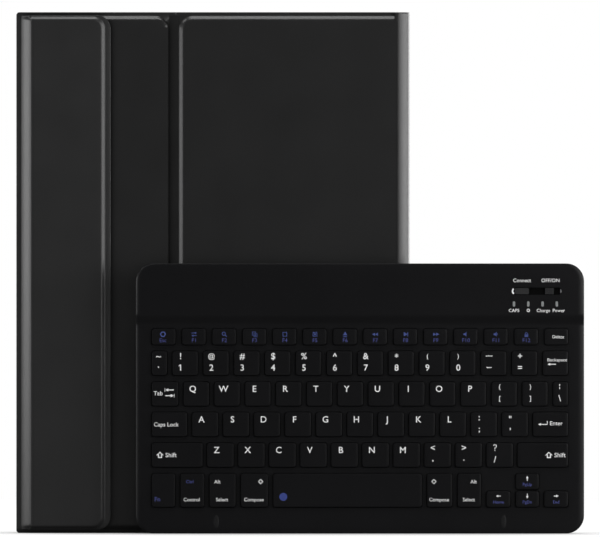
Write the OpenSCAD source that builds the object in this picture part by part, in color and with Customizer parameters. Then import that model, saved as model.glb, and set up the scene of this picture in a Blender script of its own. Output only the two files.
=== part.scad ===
// Folio case for a tablet, closed and standing on its lower edge, with its wireless keyboard
// standing in front of it. X runs to the right, Y to the rear and Z up. The origin is the middle
// of the back cover's lower edge, in the middle of its leather.

/* [Tablet] */
// Width of the tablet's short side
tablet_w = 178.6; // [170:0.2:190]
// Length of the tablet's long side
tablet_h = 247.8; // [236:0.2:262]
// Thickness of the tablet
tablet_t = 6.8; // [5.6:0.1:9]
// Corner radius of the tablet
tablet_r = 9; // [6:0.5:12]

/* [Tablet shell] */
// Thickness of the shell's floor
shell_floor = 1.2; // [0.8:0.1:2]
// Thickness of the shell's walls
shell_wall = 1.6; // [1.2:0.1:2.4]
// Thickness of the lip that holds the tablet in
lip_t = 0.8; // [0.6:0.1:1.5]
// Reach of the lip over the tablet's edge
lip_reach = 1.4; // [1:0.1:2]
// Side of the square camera window
camera_side = 16; // [12:0.5:20]
// Distance from the tablet's edges to the middle of the camera window
camera_inset = 14.5; // [13:0.5:18]
// Width of the charging cut-out in the shell's lower wall
shell_port_w = 15; // [12:0.5:20]
// Height of the charging cut-out
shell_port_t = 5; // [4.4:0.1:5.4]
// Length of each loudspeaker slot
speaker_len = 30; // [16:1:40]
// Distance from the middle to each loudspeaker slot
speaker_offset = 50; // [40:1:58]
// Length of the volume button's cut-out
volume_len = 26; // [18:1:34]
// Distance from the camera window down to that cut-out
volume_offset = 30; // [24:1:60]

/* [Folio covers] */
// Thickness of the leather
leather_t = 0.8; // [0.6:0.1:1.1]
// Thickness of the stiffening boards
board_t = 1.2; // [0.8:0.1:1.8]
// Thickness of the inner lining
lining_t = 0.4; // [0.3:0.1:0.7]
// Width of the thin leather margin round a raised board
margin = 3.1; // [2.4:0.1:4.5]
// Corner radius of the closed case
corner_r = 1.6; // [1:0.1:4]
// Corner radius of the boards
board_r = 4.2; // [3:0.1:7]
// Cover beyond the shell at the lower and upper ends
end_reach = 2.3; // [1.6:0.1:4]
// Cover beyond the shell at the free left edge
free_reach = 2.6; // [1.6:0.1:4]
// Cover beyond the shell at the spine
spine_reach = 8.6; // [6.6:0.1:12]
// Width of the upper back panel, from the free edge to the fold
upper_w = 78.5; // [74:0.5:90]
// Width of the soft groove at the fold
groove_w = 8; // [6:0.5:10]
// Clearance between parts that hinge
hinge_gap = 0.3; // [0.2:0.05:0.4]

/* [Closing flap] */
// Distance from the case's free edge to the flap's hinge line
flap_inset = 3.9; // [3.6:0.1:5]
// Width of the flap from its hinge line
flap_w = 42.4; // [34:0.2:48]
// Radius of the rolled gusset that the flap hangs on
gusset_r = 1.9; // [1.4:0.1:2.2]
// Thickness of the flap's board
flap_board_t = 0.9; // [0.6:0.1:1.1]
// Thickness of the flap's leather faces
flap_leather_t = 0.5; // [0.4:0.05:0.6]
// Width of the flap's soft rim
flap_rim = 4; // [3:0.1:5]
// Corner radius of the flap's outer corners
flap_r = 6.4; // [4:0.2:9]

/* [Magnets] */
// Diameter of each magnet in the covers
magnet_d = 8; // [6:0.5:10]
// Thickness of each magnet in the covers
magnet_t = 0.6; // [0.4:0.1:0.7]
// Distance from the front cover's sides to its magnets
magnet_inset = 24; // [16:1:40]

/* [Keyboard] */
// Thickness of the raised bar
bar_t = 6; // [5.6:0.1:8]
// Height of the raised bar
bar_h = 26.8; // [24:0.2:34]
// Height of the slope between the bar and the key deck
slope_h = 2.8; // [1.6:0.1:4]
// Thickness at the key deck
deck_t = 4.2; // [3.8:0.1:4.4]
// Thickness of the bottom case
bottom_t = 1; // [0.8:0.1:1.2]
// Thickness of the top case's skin
skin_t = 1; // [0.8:0.1:1.2]
// Thickness of the top case's outer walls
kb_wall = 1.6; // [1.2:0.1:2]
// Corner radius of the keyboard
kb_r = 8.8; // [6:0.2:12]
// Plain edge beside the keys
side_edge = 7.9; // [7:0.1:11]
// Plain edge below the keys
palm_edge = 13; // [10:0.2:20]
// Plain edge between the keys and the slope
key_head = 2.4; // [1.6:0.1:5]
// Diameter of the rubber feet
foot_d = 8; // [6:0.5:10]
// How far the feet stand out of the bottom case
foot_t = 0.5; // [0.4:0.1:1]
// Room over the keyboard in the closed case
space_fit = 0.3; // [0.2:0.1:1]
// Distance between the case and the keyboard that stands in front of it
stand_off = 17; // [16:0.5:40]
// Distance from the middle of the case to the middle of the keyboard
stand_shift = 72.2; // [40:0.2:110]

/* [Keys] */
// Width of the field that holds the keys
field_w = 204; // [202:0.5:214]
// Width of a letter key
key_w = 12.3; // [11.6:0.1:12.5]
// Width of a function key
fn_w = 11.5; // [10:0.1:12.2]
// Width of the half keys
half_w = 7.3; // [6:0.1:7.5]
// Width of Caps Lock and Enter
lock_w = 17.2; // [15:0.1:18]
// Width of the Shift keys
shift_w = 24.8; // [22:0.1:26]
// Width of the space bar
space_w = 72.8; // [66:0.2:75]
// Height of the function row
fn_h = 7.9; // [6.5:0.1:10]
// Height of a letter key
key_h = 11.9; // [11:0.1:13]
// Height of the lowest row
low_h = 16.5; // [14:0.1:18]
// Space between two rows
row_gap = 3.1; // [2.4:0.1:3.6]
// Space between the two stacked arrow keys
arrow_gap = 0.8; // [0.6:0.1:1.4]
// Corner radius of a key
key_r = 1.1; // [0.6:0.1:1.8]
// How far the keys stand above the deck
key_rise = 1.3; // [1:0.1:1.4]
// Travel of a key
key_travel = 1.1; // [0.8:0.1:1.2]
// Clearance round a key in its opening
key_fit = 0.3; // [0.2:0.05:0.4]
// Thickness of a key's walls and roof
key_shell = 0.9; // [0.7:0.05:1]

/* [Switches and lights] */
// Width of the recess that holds the button and the switch
recess_w = 22.2; // [20:0.2:26]
// Height of that recess
recess_h = 3.6; // [3.2:0.1:4.4]
// Distance from the recess to the keyboard's right side
recess_right = 12; // [10:0.2:16]
// Distance from the recess to the keyboard's upper edge
recess_top = 11.8; // [10:0.2:13]
// Width of the connect button
button_w = 6.8; // [5:0.1:8]
// Width of the power switch's knob
knob_w = 4.2; // [3.4:0.1:5]
// Travel of the power switch
knob_travel = 2.6; // [1.5:0.1:3]
// How far the button and the knob stand out of the bar
knob_rise = 0.3; // [0.1:0.1:0.6]
// Travel of the connect button
button_travel = 0.4; // [0.2:0.05:0.5]
// Distance between two lights
light_pitch = 7; // [5:0.1:8]
// Height of a light
light_h = 2.6; // [1.8:0.1:3.2]
// Width of a light
light_w = 1.2; // [0.8:0.1:1.8]

/* [Hidden] */
$fn = 48;
tiny = 0.01;
tablet_fit = 0.2;

// covers: y values of the layers, counted from the middle of the back cover's thin leather
leather_out = -leather_t / 2;
leather_in = leather_t / 2;
lining_in = leather_in + lining_t;
board_out = leather_in - board_t;
raised_out = board_out - leather_t;

// tablet shell
pocket_w = tablet_w + 2 * tablet_fit;
pocket_h = tablet_h + 2 * tablet_fit;
pocket_t = tablet_t + tablet_fit;
shell_w = pocket_w + 2 * shell_wall;
shell_h = pocket_h + 2 * shell_wall;
floor_in = lining_in + shell_floor;
lip_out = floor_in + pocket_t;
shell_in = lip_out + lip_t;

// closed case
case_w = shell_w + free_reach + spine_reach;
case_h = shell_h + 2 * end_reach;
left_x = -case_w / 2;
right_x = case_w / 2;
fold_x = left_x + upper_w;
keyboard_space = bar_t + foot_t + space_fit;
front_lining_in = shell_in + keyboard_space;
front_leather_in = front_lining_in + lining_t;
front_leather_out = front_leather_in + leather_t;
front_board_out = front_leather_in + board_t;
front_raised_out = front_board_out + leather_t;
cover_t = leather_t + lining_t;
shell_x = left_x + free_reach;
shell_z = end_reach;
pocket_x = shell_x + shell_wall;
pocket_z = shell_z + shell_wall;
camera_x = pocket_x + camera_inset;
camera_z = pocket_z + pocket_h - camera_inset;
camera_r = 4;
port_y = (floor_in + lip_out) / 2;
speaker_slot_t = 3;
volume_slot_t = 3.6;

// closing flap, folded back on the back cover
flap_x = left_x + flap_inset;
flap_end = flap_x + flap_w;
flap_t = 2 * flap_leather_t + flap_board_t;
flap_in = raised_out - hinge_gap;
flap_out = flap_in - flap_t;
flap_y = leather_out - gusset_r;
flap_seam = 0.4;
flap_root = flap_x + gusset_r + flap_seam;
flap_z0 = 1.6;
flap_z1 = case_h - flap_z0;
gusset_z0 = flap_z0 + 4;
flap_board_gap = 1;
flap_board_x0 = flap_root + flap_board_gap;
flap_board_x1 = flap_end - flap_rim;
flap_board_r = flap_r - 1;
magnet_rows = [0.14, 0.38, 0.62, 0.86];

// boards: each lies inside its raised leather
board_z0 = margin + leather_t;
board_z1 = case_h - margin - leather_t;
upper_board_x0 = flap_x + gusset_r + hinge_gap + leather_t;
upper_board_x1 = fold_x - groove_w / 2 - leather_t;
lower_board_x0 = fold_x + groove_w / 2 + leather_t;
spine_margin = 1;
lower_board_x1 = right_x - margin - 2 * leather_t - spine_margin;
front_board_x0 = left_x + margin + leather_t;
spine_t = board_t + cover_t;
spine_y0 = lining_in + hinge_gap;
spine_y1 = front_lining_in - hinge_gap;
spine_board_inset = 1.2;

// keyboard: y values count from the bottom case towards the viewer
kb_back = raised_out - stand_off;
kb_w = field_w + 2 * side_edge;
kb_x = stand_shift - kb_w / 2;
row_heights = [low_h, key_h, key_h, key_h, key_h, fn_h];
field_h = total(row_heights, 6) + 5 * row_gap;
slope_z = palm_edge + field_h + key_head;
bar_z = slope_z + slope_h;
kb_h = bar_z + bar_h;
field_x = kb_x + side_edge;
plate_t = 0.3;
sheet_t = 0.4;
cavity_in = bottom_t;
deck_in = deck_t - skin_t;
bar_in = bar_t - skin_t;
cap_top = deck_t + key_rise;
cap_step = 0.4;
cap_taper = 0.35;
plate_top = bottom_t + plate_t;
sheet_top = plate_top + sheet_t;
key_stop = 0.5;
cap_foot = sheet_top + key_travel + key_stop;
dome_top = cap_top - key_shell - 0.3;
dome_r = 2.2;
plate_reach = 2.5;
inner_gap = 0.6;
battery_inset = 24;
battery_share = 0.42;
board_reach = 10;
foot_inset = 14;
front_foot_inset = 7.5;
bar_magnet_w = 22;
bar_magnet_t = 1.5;
bar_magnet_inset = 40;
screw_inset = 4.6;
screw_r = 0.8;
screw_fit = 0.1;
boss_r = 2;
screw_head_r = 1.6;
screw_head_t = 0.5;

// switches and lights
recess_t = 0.5;
recess_x = kb_x + kb_w - recess_right - recess_w;
recess_z = kb_h - recess_top - recess_h;
part_fit = 0.3;
part_h = recess_h - 2 * part_fit;
button_x = recess_x + part_fit;
knob_x = recess_x + recess_w - part_fit - knob_travel - knob_w;
neck_inset = 0.8;
neck_w = knob_w - 2 * neck_inset;
neck_h = part_h - 2 * neck_inset;
button_r = 0.6;
light_drop = 4.5;
light_shift = 0.8;
knob_foot = bar_t - recess_t + 0.1;
knob_groove = 0.4;
flange_reach = 0.5;
flange_top = bar_in - 0.1;
flange_t = 0.6;
light_z = recess_z - light_drop;
light_x = recess_x + recess_w / 2 - 1.5 * light_pitch - light_shift;
circuit_top = cavity_in + 0.8;
battery_t = bar_in - cavity_in - 0.4;

// charging port in the keyboard's upper edge
port_w = 8.9;
port_h = 3.2;
port_depth = 7.3;
port_wall = 0.3;
tongue_t = 0.7;
tongue_inset = 1.1;
port_inset = 0.2;
port_x = recess_x + recess_w / 2;
port_fit = 0.25;
port_d = bottom_t + port_h / 2 + port_fit + 0.1;

function total(list, n) = n <= 0 ? 0 : list[n - 1] + total(list, n - 1);

// widths of the keys in each row, from the lowest row up
low_row = [
    fn_w - 0.2, fn_w + 0.1, key_w + 0.5, key_w + 0.9, space_w, key_w, fn_w,
    fn_w + 0.2, fn_w - 0.2, fn_w + 0.2
];
lower_row = concat([shift_w], [for (i = [1:10]) key_w + 0.7], [shift_w]);
home_row = concat([lock_w], [for (i = [1:11]) key_w + 0.4], [lock_w]);
upper_row = concat([key_w + 0.5], [for (i = [1:12]) key_w + 0.1], [half_w]);
number_row = concat([half_w], [for (i = [1:13]) key_w + 0.1]);
function_row = [for (i = [1:14]) fn_w];
rows = [low_row, lower_row, home_row, upper_row, number_row, function_row];
function gap_in(row) = (field_w - total(rows[row], len(rows[row]))) / (len(rows[row]) - 1);
function key_x(row, i) = field_x + total(rows[row], i) + i * gap_in(row);
function row_z(row) = palm_edge + total(row_heights, row) + row * row_gap;
arrow_h = (low_h - arrow_gap) / 2;
low = 0;
lower = 1;
home = 2;
upper = 3;
number = 4;
fn_row = 5;
arrow_first = 7;

// one key's place: its left side, its foot, its width and its height
function place(row, i) = [key_x(row, i), row_z(row), rows[row][i], row_heights[row]];
function arrow_place(i, level) = [
    key_x(low, arrow_first + i), row_z(low) + level * (arrow_h + arrow_gap),
    rows[low][arrow_first + i], arrow_h
];
full_keys = [for (r = [0:5]) for (i = [0:(r == low ? arrow_first : len(rows[r])) - 1]) place(r, i)];
arrow_keys = [arrow_place(0, 0), arrow_place(1, 0), arrow_place(1, 1), arrow_place(2, 0)];
all_keys = concat(full_keys, arrow_keys);

leather_black = [0.12, 0.12, 0.125];
lining_grey = [0.22, 0.22, 0.23];
board_grey = [0.45, 0.42, 0.38];
plastic_black = [0.07, 0.07, 0.08];
key_black = [0.05, 0.05, 0.055];
steel = [0.6, 0.6, 0.62];

// a flat piece in the XZ plane between two depths; y_front is nearer the viewer
module sheet(y_front, y_rear)
    translate([0, y_rear, 0]) rotate([90, 0, 0]) linear_extrude(y_rear - y_front) children();

// the same for the keyboard, with depths counted from its bottom case towards the viewer
module layer(d0, d1) sheet(kb_back - d1, kb_back - d0) children();

module box_2d(x0, x1, z0, z1) translate([x0, z0]) square([x1 - x0, z1 - z0]);

module round_2d(x0, x1, z0, z1, r) {
    box_2d(x0 + r, x1 - r, z0, z1);
    box_2d(x0, x1, z0 + r, z1 - r);
    for (x = [x0 + r, x1 - r], z = [z0 + r, z1 - r]) translate([x, z]) circle(r);
}

// a strip of the case's outline
module strip_2d(x0, x1) intersection() {
    round_2d(left_x, right_x, 0, case_h, corner_r);
    box_2d(x0, x1, 0, case_h);
}

module board_2d(x0, x1, grow = 0)
    round_2d(x0 - grow, x1 + grow, board_z0 - grow, board_z1 + grow, board_r + grow);

module camera_2d(grow = 0) {
    half = camera_side / 2 + grow;
    round_2d(camera_x - half, camera_x + half, camera_z - half, camera_z + half, camera_r + grow);
}

// ---- lower back panel, from the fold to the spine
module lower_back_leather() color(leather_black) difference() {
    union() {
        sheet(leather_out, leather_in) strip_2d(fold_x, right_x);
        sheet(raised_out, leather_in) board_2d(lower_board_x0, lower_board_x1, leather_t);
    }
    sheet(board_out, leather_in + tiny) board_2d(lower_board_x0, lower_board_x1);
}

module lower_back_board() color(board_grey)
    sheet(board_out, leather_in) board_2d(lower_board_x0, lower_board_x1);

module lower_back_lining() color(lining_grey)
    sheet(leather_in, lining_in) strip_2d(fold_x, right_x);

// ---- upper back panel, from the free edge to the fold, with the tablet's shell
module upper_back_leather() color(leather_black) difference() {
    union() {
        sheet(leather_out, leather_in) strip_2d(left_x, fold_x);
        sheet(raised_out, leather_in) board_2d(upper_board_x0, upper_board_x1, leather_t);
    }
    sheet(board_out, leather_in + tiny) board_2d(upper_board_x0, upper_board_x1);
    sheet(raised_out - 1, lining_in) camera_2d();
}

module upper_back_board() color(board_grey) sheet(board_out, leather_in) difference() {
    board_2d(upper_board_x0, upper_board_x1);
    camera_2d();
}

module upper_back_lining() color(lining_grey) sheet(leather_in, lining_in) difference() {
    strip_2d(left_x, fold_x);
    camera_2d();
}

module flap_gusset() color(leather_black)
    translate([flap_x, flap_y, gusset_z0]) cylinder(r = gusset_r, h = case_h - 2 * gusset_z0);

module shell_2d(inset, r) round_2d(
    shell_x + inset, shell_x + shell_w - inset, shell_z + inset, shell_z + shell_h - inset, r
);

module tablet_shell() color(plastic_black) difference() {
    sheet(lining_in, shell_in) shell_2d(0, tablet_r + shell_wall);
    sheet(floor_in, lip_out) shell_2d(shell_wall, tablet_r);
    sheet(floor_in, shell_in + 1) shell_2d(shell_wall + lip_reach, tablet_r - lip_reach);
    sheet(lining_in - 1, floor_in + 1) camera_2d();
    middle = pocket_x + pocket_w / 2;
    sheet(port_y - shell_port_t / 2, port_y + shell_port_t / 2)
        box_2d(middle - shell_port_w / 2, middle + shell_port_w / 2, shell_z - 1, pocket_z + 1);
    for (side = [-1, 1], z = [shell_z - 1, pocket_z + pocket_h - 1])
        sheet(port_y - speaker_slot_t / 2, port_y + speaker_slot_t / 2) box_2d(
            middle + side * speaker_offset - speaker_len / 2,
            middle + side * speaker_offset + speaker_len / 2, z, z + shell_wall + 2
        );
    sheet(port_y - volume_slot_t / 2, port_y + volume_slot_t / 2) box_2d(
        shell_x - 1, pocket_x + 1,
        camera_z - volume_offset - volume_len, camera_z - volume_offset
    );
}

// ---- closing flap
module flap_2d(x0, x1, inset, r) intersection() {
    round_2d(x0 - 2 * r, x1, flap_z0 + inset, flap_z1 - inset, r);
    box_2d(x0, x1, flap_z0 + inset, flap_z1 - inset);
}

module flap_board_2d() flap_2d(flap_board_x0, flap_board_x1, flap_rim, flap_board_r);

module flap_magnets_2d() for (k = magnet_rows)
    translate([flap_board_x1 - magnet_d, case_h * k]) circle(magnet_d / 2);

module flap_leather() color(leather_black) difference() {
    sheet(flap_out + flap_leather_t, flap_in) flap_2d(flap_root, flap_end, 0, flap_r);
    sheet(flap_out, flap_in - flap_leather_t) flap_board_2d();
}

module flap_board() color(board_grey) difference() {
    sheet(flap_out + flap_leather_t, flap_in - flap_leather_t) flap_board_2d();
    sheet(flap_out, flap_out + flap_leather_t + magnet_t) flap_magnets_2d();
}

module flap_lining() color(leather_black)
    sheet(flap_out, flap_out + flap_leather_t) flap_2d(flap_root, flap_end, 0, flap_r);

module flap_magnets() color(steel)
    sheet(flap_out + flap_leather_t, flap_out + flap_leather_t + magnet_t) flap_magnets_2d();

// ---- spine
module spine_leather() color(leather_black)
    sheet(spine_y0, spine_y1) strip_2d(right_x - leather_t, right_x);

module spine_board() color(board_grey)
    sheet(spine_y0 + spine_board_inset, spine_y1 - spine_board_inset)
        box_2d(right_x - leather_t - board_t, right_x - leather_t, board_z0, board_z1);

module spine_lining() color(lining_grey) difference() {
    sheet(spine_y0, spine_y1) strip_2d(right_x - spine_t, right_x - leather_t);
    spine_board();
}

// ---- front cover
module front_leather() color(leather_black) difference() {
    union() {
        sheet(front_leather_in, front_leather_out) strip_2d(left_x, right_x);
        sheet(front_leather_in, front_raised_out)
            board_2d(front_board_x0, lower_board_x1, leather_t);
    }
    sheet(front_leather_in - tiny, front_board_out) board_2d(front_board_x0, lower_board_x1);
}

module front_magnets_2d() for (x = [left_x + magnet_inset, right_x - magnet_inset])
    for (k = magnet_rows) translate([x, case_h * k]) circle(magnet_d / 2);

module front_board() color(board_grey) difference() {
    sheet(front_leather_in, front_board_out) board_2d(front_board_x0, lower_board_x1);
    sheet(front_leather_in - tiny, front_leather_in + magnet_t) front_magnets_2d();
}

module front_lining() color(lining_grey)
    sheet(front_lining_in, front_leather_in) strip_2d(left_x, right_x);

module front_magnets() color(steel)
    sheet(front_leather_in, front_leather_in + magnet_t) front_magnets_2d();

// ---- keyboard
module kb_2d(inset) round_2d(
    kb_x + inset, kb_x + kb_w - inset, inset, kb_h - inset, kb_r - inset
);

// the keyboard's outline between the depth d0 and its stepped front, swept along X
module kb_body(d0, deck, bar, inset) intersection() {
    layer(d0, bar + 1) kb_2d(inset);
    translate([kb_x - 1, kb_back, 0]) rotate([90, 0, 90]) linear_extrude(kb_w + 2) polygon([
        [1 - d0, -1], [-deck, -1], [-deck, slope_z + inset / 2], [-bar, bar_z + inset / 2],
        [-bar, kb_h + 1], [1 - d0, kb_h + 1]
    ]);
}

module key_2d(p, grow) round_2d(
    p[0] - grow, p[0] + p[2] + grow, p[1] - grow, p[1] + p[3] + grow, key_r + grow
);

// a key's opening in the deck, with straight corners that clear the key's round ones
module opening_2d(p) {
    x0 = p[0] - key_fit;
    x1 = p[0] + p[2] + key_fit;
    z0 = p[1] - key_fit;
    z1 = p[1] + p[3] + key_fit;
    cut = (key_r + key_fit) / 2;
    polygon([
        [x0 + cut, z0], [x1 - cut, z0], [x1, z0 + cut], [x1, z1 - cut],
        [x1 - cut, z1], [x0 + cut, z1], [x0, z1 - cut], [x0, z0 + cut]
    ]);
}

module screw_places() {
    for (x = [kb_x + screw_inset, kb_x + kb_w - screw_inset])
        for (z = [palm_edge, palm_edge + field_h / 2, palm_edge + field_h])
            translate([x, z]) children();
}

module slot_2d() round_2d(
    recess_x, recess_x + recess_w, recess_z, recess_z + recess_h, recess_h / 2 - 0.6
);

module button_2d(grow = 0) round_2d(
    button_x - grow, button_x + button_w + grow,
    recess_z + part_fit - grow, recess_z + part_fit + part_h + grow, button_r + grow
);

module lights_2d(grow = 0) for (i = [0:3])
    translate([light_x + i * light_pitch, light_z]) round_2d(
        -light_w / 2 - grow, light_w / 2 + grow, -light_h / 2 - grow, light_h / 2 + grow,
        light_w / 2 + grow - 0.05
    );

module neck_2d(grow, travel) {
    middle = recess_z + recess_h / 2;
    box_2d(
        knob_x + (knob_w - neck_w) / 2 - grow, knob_x + (knob_w + neck_w) / 2 + travel + grow,
        middle - neck_h / 2 - grow, middle + neck_h / 2 + grow
    );
}

module port_shape(depth, inset) translate([port_x, kb_back - port_d, kb_h - depth])
    linear_extrude(depth + 1) {
        r = port_h / 2 - inset;
        half = port_w / 2 - port_h / 2;
        translate([-half, -r]) square([2 * half, 2 * r]);
        for (side = [-1, 1]) translate([side * half, 0]) circle(r);
    }

module top_case() color(plastic_black) {
    difference() {
        kb_body(bottom_t, deck_t, bar_t, 0);
        kb_body(bottom_t - 1, deck_in, bar_in, kb_wall);
        layer(deck_in - 1, deck_t + 1) for (p = all_keys) opening_2d(p);
        layer(bar_t - recess_t, bar_t + 1) slot_2d();
        layer(bar_in - 1, bar_t) button_2d(part_fit / 2);
        layer(bar_in - 1, bar_t) neck_2d(part_fit, knob_travel);
        layer(bar_in - 1, bar_t + 1) lights_2d(0.05);
        port_shape(port_depth, -port_fit);
    }
    layer(bottom_t, deck_in) difference() {
        screw_places() circle(boss_r);
        screw_places() circle(screw_r + screw_fit);
    }
}

module bottom_case() color(plastic_black) difference() {
    layer(0, bottom_t) kb_2d(0);
    layer(-1, bottom_t + 1) screw_places() circle(screw_r + screw_fit);
    layer(-1, screw_head_t) screw_places() circle(screw_head_r + screw_fit);
}

module case_screws() color(steel) {
    layer(0, screw_head_t) screw_places() circle(screw_head_r);
    layer(screw_head_t, deck_in - 0.3) screw_places() circle(screw_r);
}

module rubber_feet() color([0.1, 0.1, 0.1])
    for (x = [kb_x + foot_inset, kb_x + kb_w - foot_inset])
        for (z = [front_foot_inset, kb_h - foot_inset])
            layer(-foot_t, 0) translate([x, z]) circle(foot_d / 2);

module field_2d(reach) box_2d(
    field_x - reach / 2, field_x + field_w + reach / 2, palm_edge - reach,
    palm_edge + field_h + reach / 2
);

module key_plate() color(steel) layer(bottom_t, plate_top) field_2d(plate_reach);

module dome_sheet() color([0.75, 0.75, 0.72]) {
    layer(plate_top, sheet_top) field_2d(plate_reach);
    for (p = all_keys)
        layer(sheet_top, dome_top) translate([p[0] + p[2] / 2, p[1] + p[3] / 2]) circle(dome_r);
}

module battery() color([0.75, 0.76, 0.78]) layer(cavity_in, cavity_in + battery_t)
    round_2d(
        kb_x + battery_inset, kb_x + battery_inset + kb_w * battery_share, bar_z + 3,
        kb_h - kb_wall - inner_gap, 1
    );

module circuit_board() color([0.1, 0.35, 0.2]) {
    difference() {
        layer(cavity_in, circuit_top) box_2d(
            recess_x - board_reach, kb_x + kb_w - kb_r, bar_z + 2, kb_h - kb_wall - inner_gap
        );
        port_shape(port_depth + port_fit, -port_fit);
    }
    // the tact switch under the connect button and the slide switch under the knob
    layer(circuit_top, flange_top - flange_t - button_travel - 0.1)
        box_2d(button_x + 1, button_x + button_w - 1, recess_z, recess_z + recess_h);
    layer(circuit_top, flange_top - flange_t - 0.3)
        box_2d(knob_x - 1, knob_x + knob_w + knob_travel, recess_z, recess_z + recess_h);
    layer(circuit_top, bar_in - 0.4) for (i = [0:3])
        translate([light_x + i * light_pitch, light_z])
            box_2d(-light_w / 2, light_w / 2, -light_h / 2, light_h / 2);
}

module charging_port() color(steel) difference() {
    intersection() {
        port_shape(port_depth, 0);
        layer(0, bar_t) box_2d(port_x - port_w, port_x + port_w, 0, kb_h - port_inset);
    }
    difference() {
        port_shape(port_depth - 1, port_wall);
        layer(port_d - tongue_t / 2, port_d + tongue_t / 2) box_2d(
            port_x - port_w / 2 + tongue_inset, port_x + port_w / 2 - tongue_inset, 0, kb_h - 1
        );
    }
}

module status_lights() color([0.85, 0.9, 0.85]) layer(bar_in - 0.3, bar_t) lights_2d();

module keyboard_magnets() color(steel)
    for (x = [kb_x + bar_magnet_inset, kb_x + kb_w / 2, kb_x + kb_w - bar_magnet_inset])
        layer(bottom_t, bottom_t + bar_magnet_t) box_2d(
            x - bar_magnet_w / 2, x + bar_magnet_w / 2,
            kb_wall + inner_gap, palm_edge - plate_reach - inner_gap
        );

module connect_button() color([0.2, 0.2, 0.21]) {
    layer(flange_top, bar_t + knob_rise) button_2d();
    layer(flange_top - flange_t, flange_top) button_2d(flange_reach);
}

module switch_knob() color([0.2, 0.2, 0.21]) {
    difference() {
        layer(knob_foot, bar_t + knob_rise) box_2d(
            knob_x, knob_x + knob_w, recess_z + part_fit, recess_z + part_fit + part_h
        );
        for (k = [0.25, 0.5, 0.75]) layer(bar_t, bar_t + 1)
            translate([knob_x + knob_w * k - knob_groove / 2, recess_z]) square([knob_groove, recess_h]);
    }
    layer(flange_top, knob_foot) neck_2d(0, 0);
    layer(flange_top - flange_t, flange_top) neck_2d(flange_reach, 0);
}

// ---- keys: a cap with a hollow underside
module cap(p) difference() {
    union() {
        layer(cap_foot, cap_top - cap_step) key_2d(p, 0);
        layer(cap_top - cap_step, cap_top) key_2d(p, -cap_taper);
    }
    layer(cap_foot - 1, cap_top - key_shell) key_2d(p, -key_shell);
}

module key_run(row, first, last) color(key_black) for (i = [first:last]) cap(place(row, i));

module key_escape() key_run(fn_row, 0, 0);
module keys_function_left() key_run(fn_row, 1, 6);
module keys_function_right() key_run(fn_row, 7, 12);
module key_delete() key_run(fn_row, 13, 13);
module keys_number_left() key_run(number, 0, 6);
module keys_number_right() key_run(number, 7, 12);
module key_backspace() key_run(number, 13, 13);
module key_tab() key_run(upper, 0, 0);
module keys_upper_left() key_run(upper, 1, 6);
module keys_upper_right() key_run(upper, 7, 13);
module key_caps_lock() key_run(home, 0, 0);
module keys_home_left() key_run(home, 1, 5);
module keys_home_right() key_run(home, 6, 11);
module key_enter() key_run(home, 12, 12);
module key_shift_left() key_run(lower, 0, 0);
module keys_lower_left() key_run(lower, 1, 5);
module keys_lower_right() key_run(lower, 6, 10);
module key_shift_right() key_run(lower, 11, 11);
module key_fn() key_run(low, 0, 0);
module keys_modifier_left() key_run(low, 1, 3);
module key_space() key_run(low, 4, 4);
module keys_modifier_right() key_run(low, 5, 6);
module key_arrow_left() color(key_black) cap(arrow_place(0, 0));
module key_arrow_down() color(key_black) cap(arrow_place(1, 0));
module key_arrow_up() color(key_black) cap(arrow_place(1, 1));
module key_arrow_right() color(key_black) cap(arrow_place(2, 0));

lower_back_leather();
lower_back_board();
lower_back_lining();
upper_back_leather();
upper_back_board();
upper_back_lining();
tablet_shell();
flap_gusset();
flap_leather();
flap_board();
flap_lining();
flap_magnets();
spine_leather();
spine_board();
spine_lining();
front_leather();
front_board();
front_lining();
front_magnets();
top_case();
bottom_case();
key_plate();
dome_sheet();
battery();
circuit_board();
charging_port();
status_lights();
rubber_feet();
case_screws();
keyboard_magnets();
switch_knob();
connect_button();
key_escape();
keys_function_left();
keys_function_right();
key_delete();
keys_number_left();
keys_number_right();
key_backspace();
key_tab();
keys_upper_left();
keys_upper_right();
key_caps_lock();
keys_home_left();
keys_home_right();
key_enter();
key_shift_left();
keys_lower_left();
keys_lower_right();
key_shift_right();
key_fn();
keys_modifier_left();
key_space();
keys_modifier_right();
key_arrow_left();
key_arrow_up();
key_arrow_down();
key_arrow_right();
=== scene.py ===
import math

import bmesh
import bpy
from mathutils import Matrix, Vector


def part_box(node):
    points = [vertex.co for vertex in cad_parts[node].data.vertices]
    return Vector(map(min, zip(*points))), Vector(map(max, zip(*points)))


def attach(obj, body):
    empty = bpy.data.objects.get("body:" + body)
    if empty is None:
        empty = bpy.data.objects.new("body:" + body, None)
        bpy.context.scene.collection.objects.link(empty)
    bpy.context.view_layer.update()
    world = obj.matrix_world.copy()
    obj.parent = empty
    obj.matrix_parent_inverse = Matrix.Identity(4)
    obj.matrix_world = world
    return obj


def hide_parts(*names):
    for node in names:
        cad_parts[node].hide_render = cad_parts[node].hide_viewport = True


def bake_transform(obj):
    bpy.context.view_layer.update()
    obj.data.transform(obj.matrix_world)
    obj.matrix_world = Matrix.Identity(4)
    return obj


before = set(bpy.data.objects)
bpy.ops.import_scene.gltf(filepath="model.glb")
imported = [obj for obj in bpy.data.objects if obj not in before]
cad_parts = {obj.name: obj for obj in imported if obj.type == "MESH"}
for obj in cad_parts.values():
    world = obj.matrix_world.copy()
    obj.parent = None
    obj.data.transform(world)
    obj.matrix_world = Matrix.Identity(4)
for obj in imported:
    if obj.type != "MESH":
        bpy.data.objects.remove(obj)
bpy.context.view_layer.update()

MM = 0.001
PHOTO_W, PHOTO_H = 600, 537        # the picture's size in pixels
METRES_PER_PIXEL = 0.4915 * MM
PHOTO_X0, PHOTO_Z0 = 213, 533      # the pixel that shows x = 0 and z = 0


# ---------------- materials

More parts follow.
